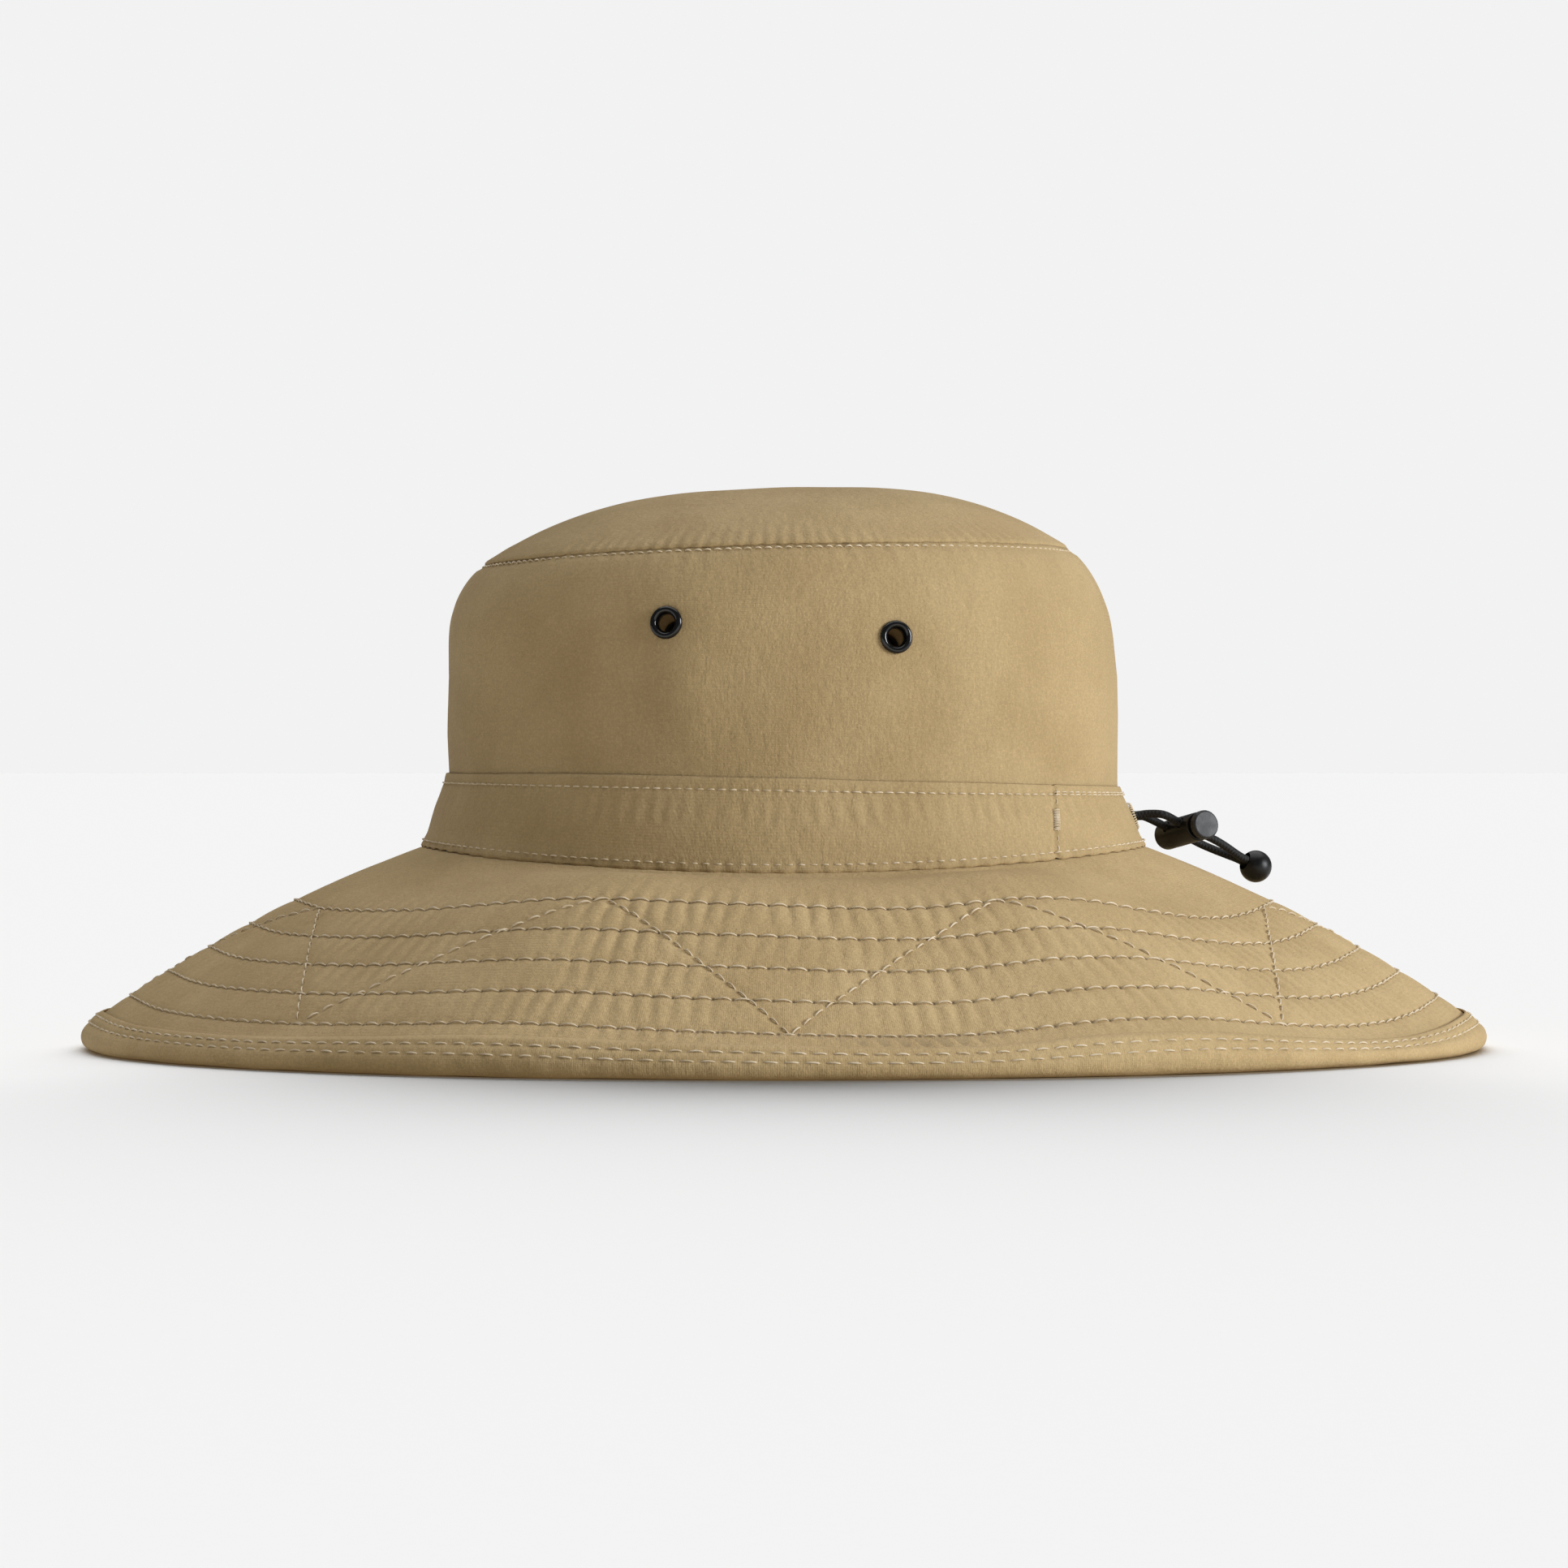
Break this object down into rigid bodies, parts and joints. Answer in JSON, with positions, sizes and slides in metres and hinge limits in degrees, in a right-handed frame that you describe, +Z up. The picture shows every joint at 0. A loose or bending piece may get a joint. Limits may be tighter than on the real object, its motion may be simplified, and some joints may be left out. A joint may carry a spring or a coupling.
{
  "type": "boonie hat",
  "caption": "Wide-brimmed soft sun hat with a quilted brim, vented crown and a drawcord round the band, tightened by a sprung cord lock at the back.",
  "frame": {"origin": "on the ground under the middle of the hat, level with the underside of the rim", "axes": "+Z up through the crown, +X to the back of the hat where the cord lock hangs, +Y to the wearer's right"},
  "size_m": [0.41, 0.357, 0.1636],
  "materials": {
    "hat_cloth": "matte",
    "lining_cloth": "matte",
    "label_cloth": "satin",
    "interlining": "matte",
    "thread": "matte",
    "cord_cover": "matte",
    "lock_plastic": "satin",
    "button_plastic": "satin",
    "spring_steel": "bright",
    "ball_rubber": "satin",
    "black_metal": "gloss",
    "washer_metal": "satin"
  },
  "bodies": {
    "hat": {"crown_tip": "hat_cloth", "crown_side_left": "hat_cloth", "crown_side_right": "hat_cloth", "tip_seam_tape": "lining_cloth", "hat_band": "hat_cloth", "sweatband": "lining_cloth", "size_label": "label_cloth", "brim_top": "hat_cloth", "brim_stiffener": "interlining", "brim_underside": "hat_cloth", "brim_binding": "hat_cloth", "cord_eyelet": "thread", "channel_cord": "cord_cover", "cord_strand_far": "cord_cover", "cord_strand_near": "cord_cover", "cord_end_ball": "ball_rubber", "vent_eyelet_front_left": "black_metal", "vent_eyelet_front_right": "black_metal", "vent_eyelet_back_left": "black_metal", "vent_eyelet_back_right": "black_metal", "vent_washer_front_left": "washer_metal", "vent_washer_front_right": "washer_metal", "vent_washer_back_left": "washer_metal", "vent_washer_back_right": "washer_metal"},
    "cord_lock": {"cord_lock_barrel": "lock_plastic", "cord_lock_spring": "spring_steel"},
    "lock_button": {"cord_lock_plunger": "button_plastic"}
  },
  "joints": [
    {"name": "cord_lock_slide", "type": "slide", "parent": "hat", "child": "cord_lock", "axis": [0.8409, 0.357, -0.4067], "range_m": [-0.005, 0.004]},
    {"name": "lock_button_press", "type": "slide", "parent": "cord_lock", "child": "lock_button", "axis": [-0.4498, 0.8789, -0.1586], "range_m": [0, 0.002], "stiffness_N_per_m": 1500, "springref_m": -0.002, "deforming": ["cord_lock_spring"]}
  ]
}
